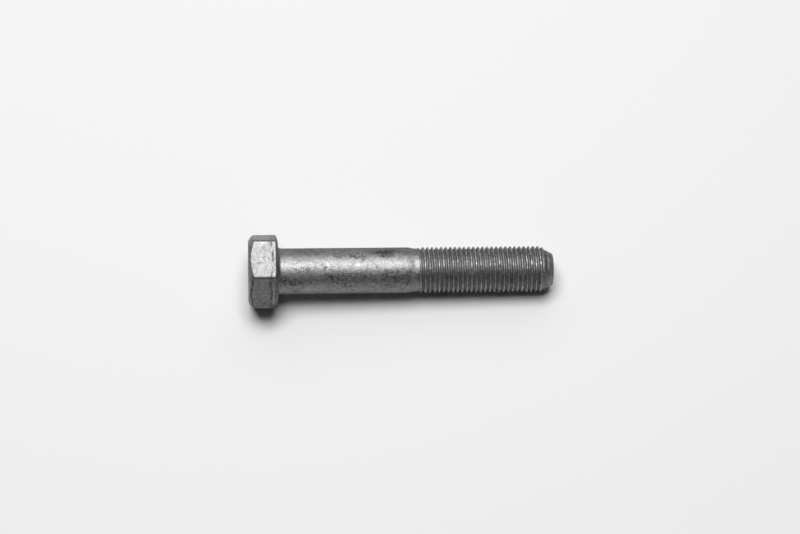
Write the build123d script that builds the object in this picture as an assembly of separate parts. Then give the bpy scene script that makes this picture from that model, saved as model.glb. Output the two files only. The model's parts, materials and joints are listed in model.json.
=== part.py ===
from build123d import *
import math
import os

# Caliper bolt: a hex-head cap screw, cold forged from one slug, with a rolled right-hand thread.
#
# The bolt is built upright on its own axis: the bearing face under the head is at height 0,
# the head lies below it and the rod rises to the point. It is then laid down as it rests:
# on the bearing-side edge of its lowest flat and on the last full crest of its thread.
# Lengths are in mm and angles in degrees.

# Head
across_flats = 18.75
head_height = 8.15
corner_radius = 0.9           # the forged hexagon's corners are not sharp
crown_circle_d = 16.7         # flat circle that its chamfer leaves on top of the head
crown_chamfer_angle = 32.0    # from the plane of the top
bearing_circle_d = 17.8       # circle that its chamfer leaves on the bearing face
bearing_chamfer_angle = 22.0  # from the plane of the bearing face
bevel_height = 0.55           # the trimming die rolls the bearing-side edge of each flat over
bevel_depth = 1.2

# Rod, measured from the bearing face to the point
length_under_head = 75.65
shank_d = 12.5
fillet_along_shank = 1.3      # the fillet under the head is a quarter of an ellipse
fillet_on_face = 0.7
shank_end = 35.4              # where the full-size shank stops
neck_start = 37.2             # where the taper has come down to the neck
neck_end = 38.4               # where the thread begins to run out of the neck
neck_d = 11.84                # the size of the blank before its thread was rolled

# Thread: 1/2 inch, 20 turns to the inch, fine series, right hand
major_d = 12.62
pitch = 25.4 / 20
thread_angle = 60.0
sharp_v_share = 5 / 8         # the basic profile keeps this share of a sharp V's height
run_out_turns = 0.7           # turns in which the groove comes to its full depth
ridge_start = 37.58           # where the ridge begins, out of sight inside the neck
ridge_start_angle = 180.0

# Point
point_d = 8.6                 # flat end face
point_angle = 26.0            # cone of the point, from the axis
point_edge_chamfer = 0.25
first_crest_angle = 42.0      # the first crests are cut down more steeply than the cone
first_crest_setback = 2.1     # from the end face to where the crests rise out of the cone

shank_r = shank_d / 2
neck_r = neck_d / 2
major_r = major_d / 2
thread_depth = sharp_v_share * pitch / 2 / math.tan(math.radians(thread_angle / 2))
root_r = major_r - thread_depth
point_r = point_d / 2
setback_r = point_r + first_crest_setback * math.tan(math.radians(point_angle))
foot_sink = 0.1               # how far the ridge's foot is sunk into the core it grows from
seam_turn = 37.0              # keeps the seam of the turned surfaces off the start of the thread


def rise(run, angle):
    """The height that a slope of this angle gains over a run."""
    return run * math.tan(math.radians(angle))


def hexagon(flats):
    """A hexagon of this size across its flats, two of which cross the X axis."""
    return Rot(0, 0, 30) * RegularPolygon(flats / 2, 6, major_radius=False)


def head():
    """The forged hexagon, with its bearing-side edges trimmed over and its corners turned off."""
    outline = fillet(hexagon(across_flats).vertices(), corner_radius)
    blank = extrude(outline, head_height, dir=(0, 0, -1))
    bevel_angle = math.degrees(math.atan2(bevel_depth, bevel_height))
    bearing_outline = hexagon(across_flats - 2 * bevel_depth)
    trimmed = extrude(bearing_outline, head_height, dir=(0, 0, -1), taper=-bevel_angle)
    crown_r = crown_circle_d / 2
    bearing_r = bearing_circle_d / 2
    clear_r = across_flats
    envelope = Polygon(
        (0, -head_height),
        (crown_r, -head_height),
        (clear_r, rise(clear_r - crown_r, crown_chamfer_angle) - head_height),
        (clear_r, -rise(clear_r - bearing_r, bearing_chamfer_angle)),
        (bearing_r, 0),
        (0, 0),
        align=None,
    )
    return blank & trimmed & revolve(Plane.XZ * envelope, Axis.Z)


def core():
    """The rod without its ridge: fillet, shank, taper, neck, thread root and point."""
    root_start = neck_end + run_out_turns * pitch
    cone_length = (root_r - point_r) / math.tan(math.radians(point_angle))
    with BuildSketch(Plane.XZ) as section:
        with BuildLine():
            line = Polyline(
                (shank_r, fillet_along_shank),
                (shank_r, shank_end),
                (neck_r, neck_start),
                (neck_r, neck_end),
                (root_r, root_start),
                (root_r, length_under_head - cone_length),
                (point_r, length_under_head),
                (0, length_under_head),
                (0, 0),
                (shank_r + fillet_on_face, 0),
            )
            EllipticalCenterArc(
                (shank_r + fillet_on_face, fillet_along_shank),
                fillet_on_face,
                fillet_along_shank,
                start_angle=180,
                arc_size=90,
            )
        make_face()
        end_face_corners = section.vertices().group_by(Axis.Y)[-1]
        chamfer(end_face_corners.sort_by(Axis.X)[-1], point_edge_chamfer)
    return Rot(0, 0, seam_turn) * revolve(section.sketch, Axis.Z)


def winding(radius, turns):
    """A right-hand helix of whole turns, made one turn at a time so that each is its own face."""
    one_turn = Helix(pitch, pitch, radius)
    return Wire([(Pos(0, 0, turn * pitch) * one_turn).edge() for turn in range(turns)])


def screw_stock():
    """A plain root cylinder with the ridge that the rolling dies raise wound round it."""
    turns = math.ceil((length_under_head - ridge_start) / pitch)
    foot_r = root_r - foot_sink
    half_foot = rise(major_r - foot_r, thread_angle / 2)
    tooth = Polygon((0, -half_foot), (major_r - foot_r, 0), (0, half_foot), align=None)
    at_foot = Plane(origin=(foot_r, 0, 0), x_dir=(1, 0, 0), z_dir=(0, -1, 0))
    ridge = sweep(at_foot * tooth, winding(foot_r, turns), is_frenet=True)
    bottom = (Align.CENTER, Align.CENTER, Align.MIN)
    root = Pos(0, 0, -pitch) * Cylinder(root_r, (turns + 2) * pitch, align=bottom)
    ridge_turned = Rot(0, 0, ridge_start_angle) * ridge
    return Pos(0, 0, ridge_start) * (Rot(0, 0, seam_turn) * root + ridge_turned)


def crest_envelope():
    """A turned body that brings the crests down at the run-out and over the point."""
    clear_r = major_r + pitch
    run_out = run_out_turns * pitch
    buried_r = 2 * neck_r - major_r
    buried_end = neck_end - run_out
    out_angle = math.degrees(math.atan2(run_out, major_r - neck_r))
    setback = length_under_head - first_crest_setback
    in_slope = 1 / math.tan(math.radians(first_crest_angle))
    section = Polygon(
        (0, buried_end),
        (buried_r, buried_end),
        (clear_r, buried_end + rise(clear_r - buried_r, out_angle)),
        (clear_r, setback - (clear_r - setback_r) * in_slope),
        (point_r, setback + (setback_r - point_r) * in_slope),
        (0, setback + (setback_r - point_r) * in_slope),
        align=None,
    )
    return Rot(0, 0, 2 * seam_turn) * revolve(Plane.XZ * section, Axis.Z)


def upright_bolt():
    thread = screw_stock() & crest_envelope()
    return core() + thread + head()


def at_rest(bolt):
    """Lay the bolt along +X, head at -X, on the edge of its lowest flat and its last full crest."""
    cut_back = (major_r - setback_r) / math.tan(math.radians(first_crest_angle))
    last_crest = length_under_head - first_crest_setback - cut_back
    drop = across_flats / 2 - major_r
    tilt = math.degrees(math.atan2(drop, last_crest + bevel_height))
    laid = Rot(0, 90 + tilt, 0) * bolt
    box = laid.bounding_box()
    return Pos(-box.center().X, -box.center().Y, -box.min.Z) * laid


bolt = at_rest(upright_bolt())
os.makedirs("parts", exist_ok=True)
export_step(bolt, "parts/caliper_bolt.step")
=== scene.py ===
# %% [markdown]
# # A caliper bolt that lies where it was put down
# A caliper bolt holds a disc brake's caliper to its bracket: a hexagon head, a plain shank that fills the
# drilled hole, a slimmer neck, and a fine thread rolled into the far half. It is one piece of steel, so here
# it is one mesh. The CAD model gives the sizes and the place; this lesson gives the surface that a hand and
# an eye would know: softened edges, rolled crests, a trimming mark, and a dull, smudged satin finish.

# %% Load the frame
import json
import math
import bmesh
import bpy
import numpy as np
from mathutils import Matrix, Vector, noise


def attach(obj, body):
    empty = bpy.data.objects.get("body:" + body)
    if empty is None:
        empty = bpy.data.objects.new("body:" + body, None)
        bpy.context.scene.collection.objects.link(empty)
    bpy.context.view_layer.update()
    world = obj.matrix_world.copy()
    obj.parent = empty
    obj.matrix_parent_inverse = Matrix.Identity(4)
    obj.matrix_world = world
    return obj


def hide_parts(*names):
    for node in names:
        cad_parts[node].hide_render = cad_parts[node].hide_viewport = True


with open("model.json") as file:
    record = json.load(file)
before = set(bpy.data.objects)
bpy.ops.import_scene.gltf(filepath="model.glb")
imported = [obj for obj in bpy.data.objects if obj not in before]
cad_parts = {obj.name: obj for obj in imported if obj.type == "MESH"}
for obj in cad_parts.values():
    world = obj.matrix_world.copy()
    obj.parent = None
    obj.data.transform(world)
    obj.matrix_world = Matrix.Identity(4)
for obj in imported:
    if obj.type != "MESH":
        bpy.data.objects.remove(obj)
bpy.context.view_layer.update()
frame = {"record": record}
MM = 0.001

# %% [markdown]
# ## Where the bolt lies
# The bolt rests on one flat of its head and on its last crest, so its axis dips a little towards the point.
# Nothing is typed in for that: the record states the bearing face and the thread as mounts, each with a place
# and an axis, and the two of them give the axis in space. Every ring of the mesh is then set out from the
# bearing face: so far along the axis, so far from it, and at such an angle round it.

# %% The bolt's own axis
mounts = {mount["name"]: mount for mount in frame["record"]["mounts"]}
axis = Vector(mounts["bearing_face"]["axis"]).normalized()
on_axis = Vector(mounts["thread"]["pos_m"])
bearing_centre = on_axis - axis * (on_axis - Vector(mounts["bearing_face"]["pos_m"])).dot(axis)
across = Vector((0, 1, 0))
upward = axis.cross(across)
print("axis", [round(v, 4) for v in axis], "dip", round(math.degrees(math.asin(-axis.z)), 3), "degrees")


def places(along, radius, turn):
    """Points in space, in metres, from lengths along and off the axis in mm and angles round it."""
    along, radius, turn = np.broadcast_arrays(along, radius, turn)
    off = np.multiply.outer(radius * np.cos(turn), across) + np.multiply.outer(radius * np.sin(turn), upward)
    return np.array(bearing_centre) + (np.multiply.outer(along, axis) + off) * MM


# %% [markdown]
# ## The sizes
# These are the sizes of the CAD model, in mm, because the mesh has to fill the same box. Lengths run from
# the bearing face: the head is behind it, at minus values, and the rod in front. Only the fillet under the
# head is a little tighter here, as it is on this bolt. What the CAD model leaves out is added later, where it
# is needed: the radii that forging and rolling leave on every edge.

# %% Sizes in mm and degrees
across_flats, head_height, corner_radius = 18.75, 8.15, 0.9
crown_r, crown_slope = 8.35, math.tan(math.radians(32))
bearing_r, bearing_slope = 8.9, math.tan(math.radians(22))
bevel_height, bevel_depth = 0.55, 1.2
shank_r, neck_r, major_r, root_r = 6.25, 5.92, 6.31, 5.623
fillet_along, fillet_on_face = 0.95, 0.65
shank_end, neck_start, neck_end, length = 35.4, 37.2, 38.4, 75.65
pitch, run_out, ridge_start = 25.4 / 20, 0.7 * 25.4 / 20, 37.58
thread_depth = major_r - root_r
point_r, point_slope = 4.3, math.tan(math.radians(26))
crest_cut_slope, crest_setback = math.tan(math.radians(42)), 2.1
print("thread", round((length - neck_end) / pitch, 1), "turns at", round(pitch, 3), "mm")

# %% [markdown]
# ## Columns round the axis
# A ring needs most of its points where it bends most. The shank is round everywhere, but the hexagon is flat
# for nearly 60 degrees and then turns within 5, at a corner with a small radius. So the columns are set out
# corner by corner, close together in the corner and wider apart on the flat, and the same columns then run
# through the whole bolt. That keeps it a single skin of four-sided faces.

# %% The angle of each column
flat_r = across_flats / 2
corner_centre = (flat_r - corner_radius) / math.cos(math.radians(30))
corner_reach = math.degrees(math.atan2(corner_centre * math.sin(math.radians(30)), flat_r))
corner_turn = 30 - corner_reach
in_corner = np.linspace(0, corner_turn, 5)
beside_corner = corner_turn + 0.25
along_flat = np.linspace(beside_corner, 30, 12)
half = np.concatenate([in_corner, along_flat])
sector = np.concatenate([half, 60 - half[-2:0:-1]])
turns_deg = np.concatenate([sector + 60 * k for k in range(6)])
turn = np.radians(turns_deg)
columns = len(turn)
one = np.ones(columns)
print(columns, "columns, each corner within", round(corner_turn, 2), "degrees of its middle")


# %% The hexagon's radius in each column
def hexagon_radius(angle):
    """The outline of the forged hexagon: flats, and corners with a radius."""
    from_corner = np.radians((np.degrees(angle) + 30) % 60 - 30)
    flat = flat_r / np.cos(np.radians(30) - np.abs(from_corner))
    inside = np.clip(corner_radius**2 - (corner_centre * np.sin(from_corner)) ** 2, 0, None)
    rounded = corner_centre * np.cos(from_corner) + np.sqrt(inside)
    return np.where(np.abs(np.degrees(from_corner)) < corner_turn, rounded, flat)


outline_r = hexagon_radius(turn)
print("the hexagon's radius runs from", outline_r.min().round(3), "to", outline_r.max().round(3))

# %% [markdown]
# ## The head's profile
# A forged head is turned in one direction and trimmed in the other. From the crown outwards come a flat
# circle, a cone that cuts the corners into arcs, the flat itself, a bevel where the trimming die rolled the
# edge over, and the bearing face. Each column follows those corners exactly, so the arcs on the flats are
# true edges of the mesh, and each corner is then eased with a small curve.


# %% Ease the corners of a profile
def eased(corners, easing, steps=4, hold=0.04):
    """Rows (along, radius) through a profile. Its inner corners are eased, and a row is held beside each."""
    rows = [corners[0]]
    for before, here, after, ease in zip(corners, corners[1:], corners[2:], easing):
        back, ahead = before - here, after - here
        back_way = back / np.linalg.norm(back, axis=0)
        ahead_way = ahead / np.linalg.norm(ahead, axis=0)
        reach_back = np.minimum(ease, 0.4 * np.linalg.norm(back, axis=0))
        reach_ahead = np.minimum(ease, 0.4 * np.linalg.norm(ahead, axis=0))
        start, end = here + back_way * reach_back, here + ahead_way * reach_ahead
        rows.append(start + back_way * hold)
        for t in np.linspace(0, 1, steps):
            rows.append((1 - t) ** 2 * start + 2 * t * (1 - t) * here + t**2 * end)
        rows.append(end + ahead_way * hold)
    rows.append(corners[-1])
    return rows


def between(row, after, count):
    """Evenly spaced rows that fill the gap between two rows."""
    return [row + (after - row) * k / (count + 1) for k in range(1, count + 1)]


def eased_step(value):
    """0 up to 0, 1 from 1, and a smooth climb between them."""
    value = np.clip(value, 0, 1)
    return value * value * (3 - 2 * value)


print("quarters of an eased step:", [round(float(eased_step(v)), 2) for v in (0, 0.25, 0.5, 0.75, 1)])

# %% The head's corners, in every column
from_flat = np.radians((turns_deg % 60) - 30)
bevel_r = (flat_r - bevel_depth) / np.cos(from_flat)
face_r = np.minimum(bevel_r, bearing_r)
bevel_start = -(outline_r * np.cos(from_flat) - flat_r + bevel_depth) * bevel_height / bevel_depth
bevel_start = np.minimum(bevel_start, -(outline_r - bearing_r) * bearing_slope)
first_ring_r = 1.0
head_corners = [
    np.array([-head_height * one, first_ring_r * one]),
    np.array([-head_height * one, crown_r * one]),
    np.array([-head_height + (outline_r - crown_r) * crown_slope, outline_r]),
    np.array([bevel_start, outline_r]),
    np.array([0 * one, face_r]),
    np.array([0 * one, (shank_r + fillet_on_face) * one]),
]
chamfer_line, bevel_line = head_corners[2][0], head_corners[3][0]
print("the chamfer cuts the flats", round(chamfer_line.min() + head_height, 2), "to",
      round(chamfer_line.max() + head_height, 2), "mm below the crown")

# %% [markdown]
# The trimming die also leaves a shallow wavy line near the bearing side of each flat. A mark that fine needs
# rows of its own, so seven of them follow the line. The other gaps are filled with as many rows as their
# length asks for.

# %% The head's rings
crown_round, chamfer_round, bevel_round, rim_round = 0.3, 0.22, 0.16, 0.2
profile = eased(head_corners, [crown_round, chamfer_round, bevel_round, rim_round])
per_corner = (len(profile) - 2) // 4
crown, chamfer, bevel, rim = (profile[1 + k * per_corner:1 + (k + 1) * per_corner] for k in range(4))
trim_back, trim_bow, trim_wave = 1.45, 0.25, 0.5
trim_line = -trim_back - (outline_r - flat_r) * trim_bow - trim_wave * np.cos(turn) ** 2
trim_rows = [np.array([trim_line + step, outline_r]) for step in (-0.3, -0.17, -0.08, 0, 0.08, 0.17, 0.3)]
head_rows = [profile[0]]
for count, rows in ((7, crown), (3, chamfer), (11, trim_rows), (2, bevel), (1, rim), (1, profile[-1:])):
    head_rows += between(head_rows[-1], rows[0], count) + rows
print(len(head_rows), "rings make the head")

# %% [markdown]
# ## The rod's profile
# Under the head a fillet of a quarter ellipse keeps the bolt from cracking there. The shank is a plain
# cylinder. It falls to the neck, which still has the size of the blank before the thread was rolled, in a
# short bend and then a longer one, as metal does that was drawn through a die. Rings are close together on
# the curves and further apart on the cylinder.

# %% Rings of the fillet, the shank and the neck
fillet_turns = np.radians(np.linspace(0, 90, 8)[1:])
rod_profile = [
    (fillet_along * (1 - math.cos(a)), shank_r + fillet_on_face * (1 - math.sin(a))) for a in fillet_turns
]
rod_profile += [(s, shank_r) for s in np.linspace(fillet_along, shank_end - 0.25, 32)[1:]]
bend_at, bend_length, bend_share = shank_end - 0.1, 0.8, 0.15
fall_at, fall_length = shank_end + 0.35, 1.8
for along in np.linspace(shank_end - 0.15, neck_start + 0.35, 15):
    bend = bend_share * eased_step((along - bend_at) / bend_length)
    fall = (1 - bend_share) * eased_step((along - fall_at) / fall_length)
    rod_profile.append((along, shank_r - (shank_r - neck_r) * (bend + fall)))
rod_rows = [np.array([s * one, r * one]) for s, r in rod_profile]
print(len(rod_rows), "rings make the shank and the neck's taper")

# %% [markdown]
# ## The thread
# Rolling dies press the groove in and squeeze the crest up, so a rolled crest is a narrow rounded flat and
# the root is a small curve. A ring at one height would cut across the crest and saw its edge into steps.
# These rows climb with the helix instead: each one keeps its place on the profile all the way round, and
# after one turn it has become the row one pitch further on. At both ends a wedge of rows fills what is left
# between the helix and a plain ring, on the smooth neck and on the smooth cone of the point.

# %% The profile of one pitch
crest_half, flank_slope = 0.075, math.tan(math.radians(60))
crest_round, root_round = 0.05, 0.12
steps_mm = np.array([0.0, 0.06, 0.115, 0.27, 0.43, 0.53])
phases = np.concatenate([steps_mm, [pitch / 2], pitch - steps_mm[:0:-1]]) / pitch
rows_per_turn = len(phases)


def crest_share(phase):
    """1 on a crest and 0 in a root, for a place within the pitch, with the corners rolled round."""
    from_crest = np.abs((phase + 0.5) % 1 - 0.5) * pitch
    depth = (from_crest - crest_half) * flank_slope
    depth = np.where(depth < crest_round, crest_round * np.exp((depth - crest_round) / crest_round), depth)
    rounded_from = thread_depth - root_round
    past = np.clip(depth - rounded_from, 0, None)
    depth = np.where(past > 0, rounded_from + root_round * (1 - np.exp(-past / root_round)), depth)
    return 1 - np.clip(depth / thread_depth, 0, 1)


print(rows_per_turn, "rows to a pitch; depth", round(thread_depth, 3), "mm")

# %% [markdown]
# The crests rise out of the neck and are cut down again over the point, and the groove sinks in as they rise.
# The point was turned a little off the centre. So its cone reaches the crests sooner on one side, and a low
# ridge is left of the first ones on the other.

# %% How high the crests and the body under them stand
off_centre, off_towards = 0.14, math.radians(205)
ridge_left, ridge_ends, ridge_fade = 0.1, length - 0.5, 0.6


def cone(along, angle):
    """The cone of the point."""
    return point_r + (length - along) * point_slope + off_centre * np.cos(angle - off_towards)


def crest_limit(along, angle):
    """How high the crests stand."""
    rising = neck_r + (major_r - neck_r) * np.clip((along - neck_end) / run_out, 0, 1)
    cut_down = point_r + crest_setback * point_slope + (length - crest_setback - along) * crest_cut_slope
    low_ridge = ridge_left * np.clip((ridge_ends - along) / ridge_fade, 0, 1)
    return np.minimum(rising, np.maximum(cut_down, cone(along, angle) + low_ridge))


def root_limit(along, angle):
    """The body under the thread: neck, root and the cone of the point."""
    falling = neck_r - (neck_r - root_r) * np.clip((along - neck_end) / run_out, 0, 1)
    return np.minimum(falling, cone(along, angle))


def screw_radius(along, angle):
    """The radius of the screw at a place along the bolt and an angle round it."""
    phase = (along - ridge_start) / pitch - (np.degrees(angle) - 90) / 360
    low, high = root_limit(along, angle), crest_limit(along, angle)
    return low + np.clip(high - low, 0, None) * crest_share(phase)


print("crests are full from", round(neck_end + run_out, 2), "mm")

# %% The rows that climb with the helix
crest_phase = ridge_start / pitch - 0.25
climb = turn / math.tau


def climb_start(row):
    """Where a climbing row starts, in mm at the first column. Row 0 is a crest near the neck."""
    whole, part = divmod(row, rows_per_turn)
    return (crest_phase + whole + phases[part]) * pitch


helix_from, helix_to = neck_start + 0.38, length - 0.42
first_row = next(row for row in range(-3 * rows_per_turn, 99) if climb_start(row) > helix_from)
last_row = first_row
while climb_start(last_row + 1) + pitch < helix_to:
    last_row += 1
neck_ring_at, end_ring_at = climb_start(first_row), climb_start(last_row) + pitch
print(last_row - first_row + 1, "rows climb from", round(neck_ring_at, 3), "to", round(end_ring_at, 3), "mm")

# %% [markdown]
# ## Marks of its life
# A bolt that has been in a box with others is not perfect. Its crests are nicked, the trimming line on the
# flats is broken here and deeper there, and the forged faces are a little uneven. These marks are real dents
# in the mesh, so that they hold under any light. Every one goes inwards only, so the bolt stays inside its
# true size.


# %% Inward marks, in mm
face_wave, trim_depth, trim_half_width = 0.02, 0.1, 0.16
crest_band, nick_depth, crest_grain, rod_grain = 0.12, 0.35, 0.015, 0.006


def uneven(point, size, seed):
    """Smooth noise between 0 and 1 at a place in mm, for marks of about this size."""
    return 0.5 + 0.5 * noise.noise(Vector(point) / size + Vector((seed, 2.3 * seed, 5.1 * seed)))


def marks(along, radius, column):
    """How far a point of the surface is pushed in towards the axis, in mm."""
    angle = turn[column]
    spot = (along, radius * math.cos(angle), radius * math.sin(angle))
    if along <= 0.05 and radius > shank_r + fillet_on_face:
        depth = face_wave * uneven(spot, size=3.5, seed=1)
        if radius > outline_r[column] - 0.03 and along < -0.6:
            broken = min(1.0, max(0.0, 5 * uneven(spot, size=0.42, seed=2) - 2.1))
            depth += trim_depth * broken * math.exp(-(((along - trim_line[column]) / trim_half_width) ** 2))
        return depth
    if along > neck_end + 0.5 * pitch and along < length - crest_setback:
        on_crest = max(0.0, (radius - major_r + crest_band) / crest_band)
        nick = max(0.0, uneven(spot, size=1.1, seed=3) - 0.62) * nick_depth
        return on_crest * (nick + crest_grain * uneven(spot, size=0.5, seed=4))
    return rod_grain * uneven(spot, size=1.6, seed=5)


on_trim_line = [marks(float(trim_line[c]), float(outline_r[c]), c) for c in range(columns)]
print("the trimming line is", round(min(on_trim_line), 3), "to", round(max(on_trim_line), 3), "mm deep")

# %% [markdown]
# ## Darker lines, painted shade and bright crests
# The finish is darker along the head's edges, and painted shade darkens the trimming line, the thread's roots
# and a groove near the point. The crests are lighter: partly steel rubbed bright, partly painted glints, and
# painted shade keeps them dimmer on the lower front side of the thread. The finish needs to know all of it,
# so every vertex keeps one number from -1, on a bright crest, to 1, in the deepest shade. It travels with the
# mesh, where a map laid over it would not fit the helix.

# %% Darker along the head's edges
chamfer_dark_width, bevel_dark_width, corner_dark_width = 0.17, 0.15, 0.32
from_corner_mm = np.radians(np.abs((turns_deg + 30) % 60 - 30)) * outline_r
upper_side = np.clip(2 * np.sin(turn), 0, 1)


def edge_darkening(along, radius, column):
    """How much darker a point of the head is made: most along its edges, and at the corners on the upper
    side.
    """
    inward = radius - outline_r[column]
    spot = (along, radius * math.cos(turn[column]), radius * math.sin(turn[column]))
    near_chamfer = math.exp(-((math.hypot(along - chamfer_line[column], inward) / chamfer_dark_width) ** 2))
    near_bevel = math.exp(-((math.hypot(along - bevel_line[column], inward) / bevel_dark_width) ** 2))
    near_corner = math.exp(-((from_corner_mm[column] / corner_dark_width) ** 2) - (inward / 0.2) ** 2)
    patchy = 0.4 + 0.6 * uneven(spot, size=0.9, seed=6)
    return patchy * max(near_chamfer, near_bevel, upper_side[column] * near_corner)


on_chamfer = [edge_darkening(float(chamfer_line[c]), float(outline_r[c]), c) for c in range(columns)]
print("grime along the chamfer:", round(min(on_chamfer), 2), "to", round(max(on_chamfer), 2))

# %% How dark or how bright a point is made
# Painted shade: the crests on the lower front side of the thread are kept less bright.
shaded_crest_side, shaded_crest_width, crest_shade_effect = 146, 15, 0.7
crest_shade_share = np.exp(-(((turns_deg - shaded_crest_side) / shaded_crest_width) ** 2))
mark_shows, mark_full, edge_dark_share = 0.03, 0.08, 1.3
root_shade, point_shade = 1.7, 0.8
fade_back, fade_length = 2.8, 0.6
point_ring_at, point_ring_half = length - 2.4, 0.5


def groove_or_crest(along, radius, column, mark):
    """1 where it is darkest, in painted shade in a groove or along an edge, -1 on a bright crest, and 0 on
    plain steel.
    """
    deep = 0.0
    if along < 0 and radius > crown_r:
        # Painted shade in the trimming line, darker where it is cut deeper, and the darkening along the
        # head's edges.
        deep = max(0.0, mark - mark_shows) / mark_full + edge_dark_share * edge_darkening(along, radius, column)
    if along > neck_end:
        below_crest = (crest_limit(along, turn[column]) - radius) / thread_depth
        over_point = float(eased_step((along - length + fade_back) / fade_length))
        in_thread = float(eased_step((along - neck_end) / run_out)) * (1 - over_point)
        # Rubbed crests are bright, and painted shade keeps them dimmer on the lower front side.
        crest_rub_and_shade = crest_shade_effect * crest_shade_share[column] - 1
        # Painted shade over the groove between the last crests and the point's cone.
        point_ring = point_shade * math.exp(-(((along - point_ring_at) / point_ring_half) ** 2))
        # Painted shade in the roots, the deeper the darker; the crests keep their brightness, less on the
        # lower front side.
        deep = max(root_shade * below_crest - 1, crest_rub_and_shade) * in_thread + point_ring
    return float(np.clip(deep, -1, 1))


crest_and_root = [groove_or_crest(60.0, r, 0, 0.0) for r in (major_r, root_r)]
print("a crest and a root, at 60 mm:", [round(v, 2) for v in crest_and_root])

# %% [markdown]
# ## One skin
# The rings, the wedges and the climbing rows are now sewn together, from the middle of the crown to the
# middle of the point's end. A face takes its corners in the same order everywhere, so that all of them face
# outwards.

# %% Rows of vertices
vertices, valley, faces = [], [], []


def add_vertex(along, radius, column):
    """Add a vertex with its marks, remember how much darker or lighter it is painted, and return its number.
    """
    mark = marks(along, radius, column)
    valley.append(groove_or_crest(along, radius, column, mark))
    vertices.append((along, radius - mark, turn[column]))
    return len(vertices) - 1


def add_centre(along):
    """Add a vertex on the axis, and return its number."""
    valley.append(0.0)
    vertices.append((along, 0.0, 0.0))
    return len(vertices) - 1


def add_row(along, radius):
    """Add a row of vertices, one in each column."""
    along, radius = np.broadcast_to(along, columns), np.broadcast_to(radius, columns)
    return [add_vertex(float(s), float(r), c) for c, (s, r) in enumerate(zip(along, radius))]


print("the mesh is filled in rows of", columns, "vertices")


# %% Faces between rows
def join(below, above, below_next, above_next):
    """A face between two columns, with a corner left out where two of its four are the same."""
    corners = dict.fromkeys((below, below_next, above_next, above))
    faces.append(tuple(corners))


def join_rings(below, above):
    """Faces between two whole rings."""
    for c in range(columns):
        join(below[c], above[c], below[c - columns + 1], above[c - columns + 1])


print("two rings are joined by", columns, "faces")

# %% [markdown]
# The crown is not quite flat: forging leaves it a shallow hollow in the middle.

# %% The head, the shank and the neck
hub_dish, hub_r = 0.09, 6.2
crown_centre = add_centre(-head_height + hub_dish)
ring = None
for along, radius in head_rows + rod_rows:
    on_crown = along.max() < -head_height + 0.001
    dish = hub_dish * np.sqrt(np.clip(1 - radius / hub_r, 0, 1)) if on_crown else 0
    before, ring = ring, add_row(along + dish, radius)
    if before is None:
        faces += [(crown_centre, ring[c - columns + 1], ring[c]) for c in range(columns)]
    else:
        join_rings(before, ring)
neck_ring = add_row(neck_ring_at, neck_r)
join_rings(ring, neck_ring)
print(len(vertices), "vertices up to the neck")

# %% [markdown]
# The wedge at the neck starts as a single point in the first column and opens to a whole pitch by the last,
# so its rows meet the climbing rows one for one at the seam. The wedge at the point closes in the same way:
# it is a whole pitch wide in the first column and runs out to a point at the last.

# %% The climbing rows of the thread
screw = []
for row in range(first_row, last_row + 1):
    along = climb_start(row) + climb * pitch
    screw.append(add_row(along, screw_radius(along, turn)))
screw[0][0] = neck_ring[0]
for lower, higher in zip(screw, screw[1:]):
    for c in range(columns - 1):
        join(lower[c], higher[c], lower[c + 1], higher[c + 1])
for row in range(len(screw) - 1 - rows_per_turn):
    next_turn = row + rows_per_turn
    join(screw[row][-1], screw[row + 1][-1], screw[next_turn][0], screw[next_turn + 1][0])
print(len(screw), "rows climb, and each meets the one a pitch further on")


# %% The thread's two wedges
def wedge_column(low, high, column):
    """The vertices of a wedge in one column, from its lower to its upper edge."""
    start, end = vertices[low][0], vertices[high][0]
    inner = np.linspace(start, end, rows_per_turn + 1)[1:-1]
    radii = screw_radius(inner, turn[column])
    return [low, *(add_vertex(float(s), float(r), column) for s, r in zip(inner, radii)), high]


def join_columns(here, after):
    """Faces between two columns of a wedge."""
    for k in range(rows_per_turn):
        join(here[k], here[k + 1], after[k], after[k + 1])


column_before = [neck_ring[0]] * (rows_per_turn + 1)
for c in range(1, columns):
    column_here = wedge_column(neck_ring[c], screw[0][c], c)
    join_columns(column_before, column_here)
    column_before = column_here
join_columns(column_before, [screw[k][0] for k in range(rows_per_turn + 1)])

end_ring = add_row(end_ring_at, screw_radius(end_ring_at, turn))
column_before = [row[-1] for row in screw[-1 - rows_per_turn:]]
for c in range(columns):
    column_here = wedge_column(screw[-1][c], end_ring[c], c)
    join_columns(column_before, column_here)
    column_before = column_here
join_columns(column_before, [end_ring[0]] * (rows_per_turn + 1))
print(len(vertices), "vertices with the thread")

# %% [markdown]
# The point ends in a small eased edge and a flat face, which is slightly hollow where the blank was cut off.

# %% The point
cone_back, edge_back, edge_in = 0.36, 0.16, 0.12
hollow, hollow_edge_r, hollow_r = 0.05, 2.4, 1.2
one_way = off_centre * np.cos(turn - off_towards)
point_corners = [
    np.array([(length - cone_back) * one, point_r + cone_back * point_slope + one_way]),
    np.array([(length - edge_back) * one, point_r + edge_back * point_slope + one_way]),
    np.array([length * one, point_r - edge_in + one_way]),
    np.array([length * one, hollow_edge_r * one]),
]
point_rows = eased(point_corners, [0.06, 0.08], hold=0.02)[1:]
point_rows.append(np.array([(length - hollow) * one, hollow_r * one]))
ring = end_ring
for along, radius in point_rows:
    before, ring = ring, add_row(along, radius)
    join_rings(before, ring)
point_centre = add_centre(length - hollow)
faces += [(ring[c], ring[c - columns + 1], point_centre) for c in range(columns)]
print(len(point_rows), "rings make the point")

# %% [markdown]
# ## From lists to a mesh
# Blender takes the lists as they are, in one call, which is far quicker than adding faces one at a time.
# Smooth shading hides the facets. No edge has to be marked as sharp, because every edge has its own small
# curve. At the end the mesh is checked: without open edges it holds water, and its volume can be measured.

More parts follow.
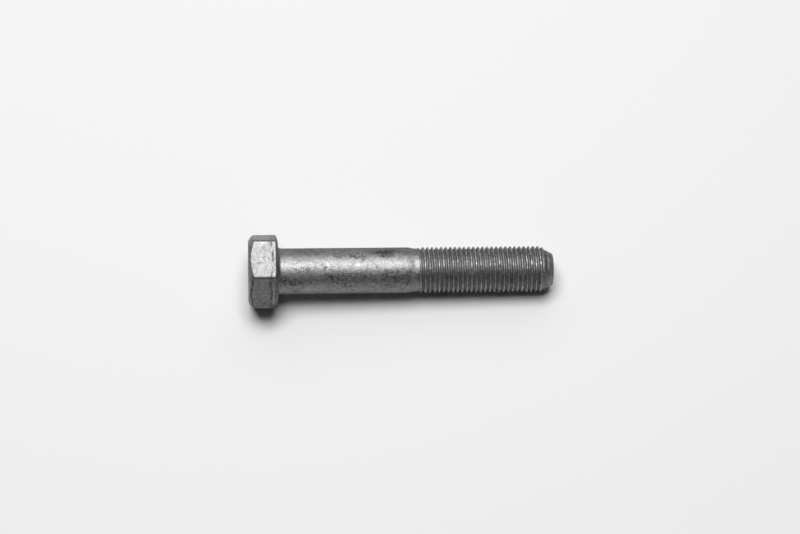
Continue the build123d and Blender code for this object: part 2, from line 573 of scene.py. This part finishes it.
# %% The mesh
along, radius, angle = np.array(vertices).T
bolt_mesh = bpy.data.meshes.new("caliper_bolt_steel")
bolt_mesh.from_pydata(places(along, radius, angle).tolist(), [], faces)
bolt_mesh.validate()
bolt_mesh.polygons.foreach_set("use_smooth", [True] * len(bolt_mesh.polygons))
bolt_mesh.attributes.new("valley", "FLOAT", "POINT").data.foreach_set("value", valley)
bolt = bpy.data.objects.new("bolt_steel", bolt_mesh)
bpy.context.scene.collection.objects.link(bolt)

check = bmesh.new()
check.from_mesh(bolt_mesh)
open_edges = sum(1 for edge in check.edges if not edge.is_manifold)
triangles = sum(len(face.verts) - 2 for face in check.faces)
print(triangles, "triangles,", open_edges, "open edges, volume", round(check.calc_volume() / MM**3, 1), "mm3")
check.free()

# %% [markdown]
# ## Satin steel
# The steel is bare but dull: a thin dry coat from the furnace and the rolling oil, a little darker where
# hands have smudged it. A metal has almost no colour of its own, so what tells it apart is how it scatters
# light. The finish therefore varies the roughness and the relief as much as the colour. It is written in the
# bolt's own straight coordinates, in mm along and across, so that drawn lines can run along the shank and a
# mark can be put where it is on the bolt.

# %% The material, and a tool for its nodes
steel = bpy.data.materials.new("satin_steel")
steel.use_nodes = True
nodes, links = steel.node_tree.nodes, steel.node_tree.links
nodes.clear()


def node(kind, inputs=None, **settings):
    """A shader node with its settings and its inputs, which are numbers or other nodes' outputs."""
    made = nodes.new("ShaderNode" + kind)
    for name, value in settings.items():
        setattr(made, name, value)
    for name, value in (inputs or {}).items():
        if isinstance(value, bpy.types.NodeSocket):
            links.new(value, made.inputs[name])
        else:
            made.inputs[name].default_value = value
    return made


print("an empty material:", steel.name)


# %% Noises, ranges, sums and stretches
def clouds(where, scale, detail=4.0, rough=0.55):
    """Smooth noise with this many waves to the mm."""
    made = node("TexNoise", {"Vector": where, "Scale": scale, "Detail": detail, "Roughness": rough})
    return made.outputs["Fac"]


def part_of(value, low, high, to_low=0.0, to_high=1.0):
    """Stretch the part of a value between low and high, and hold it at both ends."""
    ends = {"From Min": low, "From Max": high, "To Min": to_low, "To Max": to_high}
    return node("MapRange", {"Value": value, **ends}).outputs["Result"]


def math_of(operation, first, second):
    """The sum, the product, the difference or the larger of two values."""
    return node("Math", {0: first, 1: second}, operation=operation).outputs[0]


def stretched(where, scale, turned=0.0):
    """The same place with each of its directions scaled, after a turn about the vertical."""
    return node("Mapping", {"Vector": where, "Scale": scale, "Rotation": (0.0, 0.0, turned)}).outputs[0]


print("each of these tools adds one node")

# %% The bolt's straight coordinates, and the number each vertex keeps
place = node("TexCoord").outputs["Object"]
lie = Matrix((axis, across, upward))
to_bearing_face = {"Location": lie @ bearing_centre / -MM, "Rotation": lie.to_euler(), "Scale": (1 / MM,) * 3}
straight = node("Mapping", {"Vector": place, **to_bearing_face}).outputs[0]
deep = node("Attribute", attribute_name="valley").outputs["Fac"]
crest = part_of(deep, -1.0, -0.2, 1.0, 0.0)
print("the steel is written from the bearing face, at", [round(v / MM, 2) for v in bearing_centre], "mm")

# %% [markdown]
# ## The grain of the steel
# Seen close, such steel is never even. It is cloudy over centimetres, mottled over millimetres and grainy
# below that, with smudges, faint drawn lines and short scratches on top. Each of them is a noise of its own
# size, and lines and scratches are noises too, stretched nearly twenty times along one direction.

# %% Noises, from broad to fine
broad = clouds(straight, 0.16)
mottle = clouds(straight, 0.9, 6.0, 0.65)
fine = clouds(straight, 2.6, 4.0, 0.6)
grains = clouds(straight, 1.4, 3.0, 0.7)
glints = part_of(clouds(straight, 1.5, 3.0, 0.65), 0.44, 0.6)
smudge = part_of(clouds(stretched(straight, (0.5, 1.0, 1.0)), 0.42, 5.0, 0.6), 0.56, 0.72)
lines = clouds(stretched(straight, (0.06, 1.0, 1.0), 0.05), 5.2, 2.0, 0.5)
scratch = part_of(clouds(stretched(straight, (0.05, 1.0, 1.0), 0.5), 3.0, 1.0, 0.4), 0.7, 0.76)
print("eight noises in", len(nodes), "nodes")

# %% [markdown]
# ## Marks that this bolt has picked up, and a few patches of painted shade and light
# Noise alone gives a bolt, but not this one. Its stains, scores and bare spots are therefore listed one by
# one, each where it is on the steel. A mark is an ellipsoid with soft edges: a gradient round its own centre,
# in its own turned and scaled frame. The place is made ragged with a noise first, so that no mark keeps a
# clean outline.

# %% A ragged place, and the marks' tools
raggedness, mark_soft, mark_thick = 0.8, 0.5, 3.0
shift = node("TexNoise", {"Vector": straight, "Scale": 1.7, "Detail": 4.0}).outputs["Color"]
shift = node("VectorMath", {0: shift, 1: (-0.5,) * 3}, operation="ADD").outputs[0]
moved = {0: shift, 1: (raggedness,) * 3, 2: straight}
ragged = node("VectorMath", moved, operation="MULTIPLY_ADD").outputs[0]


def on_shank(along, degrees):
    """A place on the shank, and the angle that it faces."""
    around = math.radians(degrees)
    return Vector((along, shank_r * math.cos(around), shank_r * math.sin(around))), around


def on_flat(along, sideways, degrees):
    """A place on the flat of the head that faces this way, and the angle that it faces."""
    around = math.radians(degrees)
    outward = Vector((0, math.cos(around), math.sin(around)))
    return Vector((along, 0, 0)) + outward * flat_r + outward.cross(Vector((-1, 0, 0))) * sideways, around


def marked(spots):
    """How strongly a place is marked, from 0 to 1. The strongest mark counts."""
    total, reach = 0.0, 1 + mark_soft
    for (centre, around), (long, wide, slant, strength) in spots:
        turned = Matrix.Rotation(around - math.pi / 2, 3, "X") @ Matrix.Rotation(math.radians(-slant), 3, "Z")
        faded_out_at = [reach * size / 2 for size in (long, wide, mark_thick)]
        frame_of_mark = {"Location": centre, "Rotation": turned.to_euler(), "Scale": faded_out_at}
        local = node("Mapping", {"Vector": ragged, **frame_of_mark}, vector_type="TEXTURE").outputs[0]
        inside = node("TexGradient", {"Vector": local}, gradient_type="SPHERICAL").outputs["Fac"]
        total = math_of("MAXIMUM", total, part_of(inside, 0.0, 2 * mark_soft / reach, 0.0, strength))
    return total


print("noise moves the marks' outlines by up to", raggedness / 2, "mm")

# %% Stains on the shank: mm along, degrees round, then long, wide, slant in degrees and strength
shank_marks = [
    (29.2, 61, 4.6, 1.875, 8, 0.8), (27.4, 62, 2.6, 0.875, 0, 0.6), (30.4, 60, 2.4, 2.75, 20, 0.75),
    (28.4, 73, 1.6, 0.875, 0, 0.8), (73.05, 97, 0.8, 11.25, 0, 0.8), (25.7, 91, 4.2, 0.2, 38, 0.55),
    # (73.05, 97) is no stain: it is painted shade over the groove between the last crest and the point's
    # cone.
    (26.9, 103, 0.8, 0.625, 60, 0.4), (14.4, 127, 1.2, 1.0, 30, 0.9), (13.7, 118, 1.0, 0.5, 30, 0.6),
    (16.5, 134, 1.0, 0.5625, 10, 0.75), (18.3, 145, 0.9, 0.625, 0, 0.7), (15.4, 72, 1.1, 0.4375, 0, 0.7),
    (20.9, 75, 1.8, 0.375, 20, 0.5), (23.9, 57, 1.8, 0.625, -20, 0.4), (12.7, 103, 0.9, 0.375, 10, 0.5),
    (5.0, 108, 2.0, 0.375, 12, 0.6), (7.7, 108, 0.6, 0.5, 0, 0.7), (1.5, 139, 1.3, 0.625, 0, 0.6),
    (3.6, 145, 2.4, 0.625, 15, 0.55), (6.2, 144, 1.2, 0.875, -20, 0.7), (19.3, 117.5, 5.0, 0.275, 0, 0.7),
    (29.2, 112, 0.6, 0.5, 40, 0.75), (29.4, 119, 0.7, 0.4375, 0, 0.75), (27.3, 115, 0.6, 0.4375, 0, 0.6),
    (34.0, 108, 0.9, 0.3125, 0, 0.65), (30.6, 127, 2.2, 0.375, 0, 0.75), (34.2, 125.5, 3.0, 0.25, 0, 0.85),
    (35.6, 127, 0.9, 0.4375, 20, 0.7), (28.8, 136, 0.9, 0.5, 0, 0.6), (23.6, 126, 1.2, 0.375, 0, 0.6),
    (29.9, 153, 1.8, 0.5, 5, 0.5), (35.5, 143, 1.0, 0.625, 0, 0.5), (25.5, 158, 2.0, 0.3125, 0, 0.6),
    (17.4, 157, 1.2, 0.375, 15, 0.55), (4.6, 174, 0.4, 2.0, 0, 0.5),
]
print(len(shank_marks), "stains on the shank")

# %% Stains on the head: mm along, mm sideways, then long, wide, slant in degrees and strength
upper_flat, front_flat, back_flat = 90, 150, 30
upper_flat_marks = [
    (-5.1, 1.1, 1.3, 0.3, 3, 0.5), (-3.9, 1.2, 1.8, 0.22, 4, 0.4), (-3.85, -3.2, 0.35, 0.5, 0, 0.45),
    (-5.2, -4.4, 2.2, 0.4, 0, 0.25), (-2.2, -4.6, 1.4, 1.2, 0, 0.35), (-1.65, 4.0, 0.6, 0.9, 0, 0.45),
    (-5.6, 3.4, 0.5, 0.3, 0, 0.4), (-5.8, 2.7, 0.5, 0.3, 0, 0.3), (-6.9, 1.6, 0.5, 0.4, 0, 0.4),
    (-3.9, -0.3, 0.5, 1.2, 0, 0.25), (-2.6, -0.2, 0.4, 1.2, 0, 0.3), (-4.8, -2.0, 1.6, 0.25, 60, 0.25),
    (-1.4, -1.2, 0.5, 2.6, 0, 0.4), (-1.4, 0.0, 0.5, 0.5, 0, 0.5),
]
front_flat_marks = [
    (-2.2, -3.2, 0.8, 3.2, 0, 0.6), (-6.9, -4.2, 0.7, 2.4, 0, 0.35), (-5.2, 4.5, 1.8, 0.5, 5, 0.45),
    (-5.6, -1.3, 1.6, 0.7, 20, 0.25), (-7.4, 0.2, 0.45, 4.8, 0, 0.85), (-7.1, 3.7, 0.45, 3.0, 4, 0.8),
    (-7.05, -3.6, 0.4, 2.6, -4, 0.7), (-1.8, 0.8, 0.4, 4.4, 0, 0.6), (-2.0, 3.9, 0.4, 2.6, 6, 0.6),
    # (-0.8, 4.9) is no stain: it is painted shade on the head's lower front corner at the bearing side.
    (-0.8, 0.5, 0.3, 8.0, 0, 0.6), (-0.8, 4.9, 2.0, 1.7, -30, 0.75),
]
spots = [(on_shank(*mark[:2]), mark[2:]) for mark in shank_marks]
spots += [(on_flat(*mark[:2], upper_flat), mark[2:]) for mark in upper_flat_marks]
spots += [(on_flat(*mark[:2], front_flat), mark[2:]) for mark in front_flat_marks]
stains_and_painted_shade = marked(spots)
print(len(spots), "stains in all")

# %% [markdown]
# Between the stains the shank has patches of fine dark specks. There is no need to place every speck: in a
# patch, the grain of the steel only has to count as dirt a little sooner. A patch is long and narrow, as the
# drawing left it, so distances are measured in a squeezed copy of the place.

# %% Patches of specks: mm along, degrees round, radius in mm and strength
speck_patches = [
    (7.0, 108, 1.3, 0.7), (16.0, 124, 1.9, 0.75), (3.6, 143, 2.2, 0.8), (18.5, 148, 1.8, 0.7),
    (32.5, 124, 2.1, 0.75), (20.5, 72, 1.5, 0.9), (29.5, 60, 1.7, 0.8), (33.0, 150, 2.2, 0.7),
    (24.0, 97, 1.6, 0.5), (12.5, 104, 1.2, 0.7),
]
squeezed = (0.35, 1.0, 1.0)
lengthwise = stretched(ragged, squeezed)
dirty = 0.0
for along, degrees, radius, strength in speck_patches:
    centre = on_shank(along, degrees)[0] * Vector(squeezed)
    away = node("VectorMath", {0: lengthwise, 1: centre}, operation="DISTANCE").outputs["Value"]
    dirty = math_of("MAXIMUM", dirty, part_of(away, radius * 0.5, radius * 1.4, strength, 0.0))
print(len(speck_patches), "patches of specks")

# %% [markdown]
# In other places the coat is worn through and the steel is lighter: on the front flat's edges and on two
# small bright spots of the shank. The whole flat at the back and a band where the neck begins are lighter
# too, as painted light.

# %% Worn places, and painted light
front_flat_worn = [
    (-1.15, 1.5, 0.4, 6.5, 0, 0.6), (-0.45, 2.0, 0.3, 6.0, 0, 0.5), (-7.9, -1.5, 0.5, 6.0, 0, 0.3),
]
wear_and_light_spots = [(on_flat(*mark[:2], front_flat), mark[2:]) for mark in front_flat_worn]
# Painted light, not wear: the whole flat at the back is made lighter.
wear_and_light_spots.append((on_flat(-4.4, 0.0, back_flat), (8.5, 12.0, 0, 1.0)))
# Painted light, not wear: a band where the neck begins is made lighter.
wear_and_light_spots.append((on_shank(36.6, 95), (1.0, 9.0, 0, 0.5)))
wear_and_light_spots.append((on_shank(21.6, 97), (1.0, 0.5, -35, 0.9)))
wear_and_light_spots.append((on_shank(13.6, 97), (1.6, 1.2, 0, 0.35)))
wear_and_painted_light = marked(wear_and_light_spots)
specks = part_of(math_of("ADD", grains, math_of("MULTIPLY", dirty, 0.15)), 0.63, 0.7)
print(len(wear_and_light_spots), "worn places")

# %% [markdown]
# ## Tone, roughness and relief
# The three are built from the same noises and marks, so that a stain is dark and rough at once, and a rubbed
# crest is light and smoother. Tone starts from the bare steel. Stains, worn places, the darker edges, painted
# shade and painted light then make it darker or lighter, each by a factor.

# %% Tone
along_bolt = node("SeparateXYZ", {"Vector": straight}).outputs["X"]
# The crests are lighter: partly steel rubbed bright, partly painted glints where the glints noise is high.
rubbed_and_glinting_crest = math_of("MULTIPLY", crest, glints)
darkest, lightest = 0.245, 0.295
tone = part_of(broad, 0.3, 0.7, darkest, lightest)
factors = [
    (along_bolt, -0.6, 0.2, 0.92, 1.0),  # the head kept more of the furnace's coat
    (along_bolt, -7.6, -7.1, 1.2, 1.0),  # the chamfer of the crown is lighter
    (mottle, 0.35, 0.65, 0.78, 1.22),
    (fine, 0.38, 0.62, 0.78, 1.22),
    (specks, 0.0, 1.0, 1.0, 0.45),
    (smudge, 0.0, 1.0, 1.0, 0.85),
    # Stains, and painted shade at the head's lower front corner and near the point.
    (stains_and_painted_shade, 0.0, 1.0, 1.0, 0.3),
    # Worn places, and painted light on the back flat and at the neck.
    (wear_and_painted_light, 0.0, 1.0, 1.0, 1.85),
    # Painted shade in the roots, the trimming line and near the point, and the darkening along the head's
    # edges.
    (deep, 0.0, 1.0, 1.0, 0.6),
    # The crests: partly rubbed bright steel, partly painted glints.
    (rubbed_and_glinting_crest, 0.0, 1.0, 1.0, 2.5),
]
for follows, low, high, at_low, at_high in factors:
    tone = math_of("MULTIPLY", tone, part_of(follows, low, high, at_low, at_high))
tone = math_of("ADD", tone, part_of(scratch, 0.0, 1.0, 0.0, 0.03))
cool_blue = math_of("MULTIPLY", tone, 1.01)
colour = node("CombineColor", {"Red": tone, "Green": tone, "Blue": cool_blue}).outputs[0]
print(len(factors), "things make the steel darker or lighter")

# %% Roughness
rough = part_of(mottle, 0.3, 0.7, 0.5, 0.57)
rough = math_of("ADD", rough, part_of(smudge, 0.0, 1.0, 0.0, 0.05))
rough = math_of("ADD", rough, part_of(deep, -1.0, 1.0, -0.05, 0.05))
rough = math_of("ADD", rough, part_of(stains_and_painted_shade, 0.0, 1.0, 0.0, 0.12))
rough = math_of("SUBTRACT", rough, part_of(rubbed_and_glinting_crest, 0.0, 1.0, 0.0, 0.14))
print("roughness follows the mottling, the smudges, the grooves, the stains and the bright crests")

# %% [markdown]
# The relief is only felt, not measured: at most a twentieth of a millimetre. It breaks up the shine, so that
# the light along the shank ends in grain and not in a clean line.

# %% Relief
relief_height = 0.05 * MM
relief = math_of("ADD", math_of("MULTIPLY", mottle, 0.8), math_of("MULTIPLY", lines, 0.25))
relief = math_of("ADD", relief, math_of("MULTIPLY", fine, 0.7))
relief = math_of("SUBTRACT", relief, math_of("MULTIPLY", part_of(grains, 0.63, 0.7), 0.4))
relief = math_of("SUBTRACT", relief, math_of("MULTIPLY", scratch, 0.5))
bump = node("Bump", {"Height": relief, "Strength": 0.5, "Distance": relief_height}).outputs["Normal"]
print("relief of", relief_height / MM, "mm")

# %% [markdown]
# A clean metal shines most where it is seen along its surface, and would draw a bright rim round the shank.
# The dry coat on this steel takes most of that away, so the tint at the edge is kept low. The finished
# material then goes on the bolt, which takes the place of the CAD node and moves with its body.

# %% The steel, on the bolt
edge_shine = (0.4, 0.4, 0.4, 1)
shader = node("BsdfPrincipled", {"Base Color": colour, "Roughness": rough, "Normal": bump, "Metallic": 1.0})
shader.inputs["Specular Tint"].default_value = edge_shine
node("OutputMaterial", {"Surface": shader.outputs[0]})
bolt_mesh.materials.append(steel)
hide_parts("caliper_bolt")
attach(bolt, "root")
print("satin steel:", len(nodes), "nodes")

# %% [markdown]
# ## Floor, light and camera
# The bolt is shown as in a small studio: on a pale floor, under a soft panel above and a little behind. The
# panel makes the upper flat and a long band of the shank bright, and leaves the faces that turn to the front
# dark, which is what gives the steel its shape. A pale wall further back lights the bolt's far side a little,
# and the room itself adds only a dim, even fill.

# %% Floor
floor_half, floor_grey = 4.0, 0.69
floor_mesh = bpy.data.meshes.new("floor")
corners = [(x * floor_half, y * floor_half, 0) for x, y in ((-1, -1), (1, -1), (1, 1), (-1, 1))]
floor_mesh.from_pydata(corners, [], [(0, 1, 2, 3)])
floor = bpy.data.objects.new("floor", floor_mesh)
bpy.context.scene.collection.objects.link(floor)
paper = bpy.data.materials.new("pale_floor")
paper.use_nodes = True
paper_shader = paper.node_tree.nodes["Principled BSDF"]
paper_shader.inputs["Base Color"].default_value = (floor_grey, floor_grey, floor_grey, 1)
paper_shader.inputs["Roughness"].default_value = 0.9
paper_shader.inputs["Specular IOR Level"].default_value = 0.1
floor_mesh.materials.append(paper)
print("floor", 2 * floor_half, "m square")


# %% Light
def panel(name, size, distance, behind, sideways, radiance):
    """A soft panel that faces the bolt, so many degrees behind the vertical and to the side."""
    data = bpy.data.lights.new(name, "AREA")
    data.shape, (data.size, data.size_y) = "RECTANGLE", size
    data.energy = radiance * math.pi * size[0] * size[1]
    lamp = bpy.data.objects.new(name, data)
    lean = math.radians(behind)
    away = Vector((math.tan(math.radians(sideways)), math.sin(lean), math.cos(lean))).normalized()
    lamp.location = away * distance
    lamp.rotation_euler = away.to_track_quat("Z", "Y").to_euler()
    bpy.context.scene.collection.objects.link(lamp)
    print(name, round(data.energy, 2), "W")


panel("soft_panel", (0.59, 0.54), distance=1.0, behind=9, sideways=-3.5, radiance=12.3)
panel("pale_wall", (1.6, 0.9), distance=1.4, behind=48, sideways=0, radiance=1.15)

room = bpy.data.worlds.new("room")
bpy.context.scene.world = room
room.use_nodes = True
room.node_tree.nodes["Background"].inputs["Color"].default_value = (1, 1, 1, 1)
room.node_tree.nodes["Background"].inputs["Strength"].default_value = 0.03
bpy.context.scene.view_settings.view_transform = "Standard"

# %% [markdown]
# The camera looks steeply down on the bolt from a long way off for its size, so that head and point are
# drawn at nearly the same scale. It is turned a little about its own line of sight, because the bolt doesn't
# lie quite level.

# %% Camera
aim = Vector((-0.12, 0.32, 9.5)) * MM
elevation, sideways, roll = (math.radians(v) for v in (68.86, -4.32, 2.63))
camera_distance, lens, sensor_width = 0.6428, 105.3, 36
level = math.cos(elevation)
away = Vector((math.sin(sideways) * level, -math.cos(sideways) * level, math.sin(elevation)))
camera = bpy.data.objects.new("camera", bpy.data.cameras.new("camera"))
camera.data.lens, camera.data.sensor_width = lens, sensor_width
camera.location = aim + away * camera_distance
facing = away.to_track_quat("Z", "Y").to_matrix()
camera.rotation_euler = (facing @ Matrix.Rotation(roll, 3, "Z")).to_euler()
camera.data.clip_start = 0.01
bpy.context.scene.collection.objects.link(camera)
bpy.context.scene.camera = camera
print("camera at", [round(v, 3) for v in camera.location])
